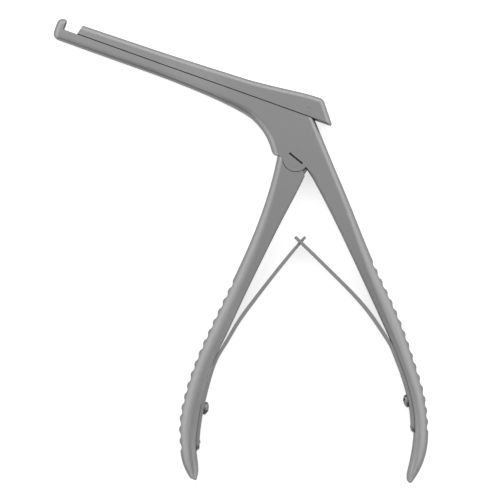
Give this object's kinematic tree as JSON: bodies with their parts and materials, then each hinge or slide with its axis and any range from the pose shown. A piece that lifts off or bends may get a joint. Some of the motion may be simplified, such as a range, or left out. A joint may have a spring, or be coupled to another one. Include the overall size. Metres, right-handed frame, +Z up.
{
  "type": "bone rongeur",
  "caption": "Hand-held bone-biting surgical instrument with a sliding upper jaw driven by a pivoted handle, a fixed footplate, scalloped grips and interlocking leaf springs",
  "frame": {"origin": "Where the pivot axis of the two handles meets the plane that the instrument rests on", "axes": "+X runs along the sliding seam from the bite to the tail, +Y points away from the handles towards the top of the slide, +Z is up, out of the cheek with the slotted pivot screw; it lies on its other cheek with the bite open"},
  "size_m": [0.1881, 0.153, 0.0095],
  "materials": {
    "satin_steel": "fine bead-blasted stainless steel, dull grey, no grain direction",
    "spring_steel": "finely ground spring steel, slightly brighter than the body",
    "polished_steel": "finely turned stainless steel"
  },
  "bodies": {
    "frame": {"fixed_shaft": "satin_steel", "pivot_screw": "polished_steel", "rear_spring": "spring_steel", "rear_spring_screw": "polished_steel", "rear_spring_peg": "polished_steel"},
    "slide": {"slide": "satin_steel", "drive_pin": "polished_steel"},
    "lever": {"lever": "satin_steel", "front_spring": "spring_steel", "front_spring_screw": "polished_steel", "front_spring_peg": "polished_steel"}
  },
  "joints": [
    {"name": "lever_pivot", "type": "hinge", "parent": "frame", "child": "lever", "pos_m": [0, 0, 0.00475], "axis": [0, 0, 1], "range_deg": [0, 16], "stiffness_Nm_per_rad": 2, "springref_deg": -17.19, "deforming": ["front_spring", "rear_spring"]},
    {"name": "slide_travel", "type": "slide", "parent": "frame", "child": "slide", "axis": [-1, 0, 0], "range_m": [0, 0.0056]}
  ],
  "couplings": [
    {"joint": "slide_travel", "follows": "lever_pivot", "m_per_rad": 0.02004}
  ]
}
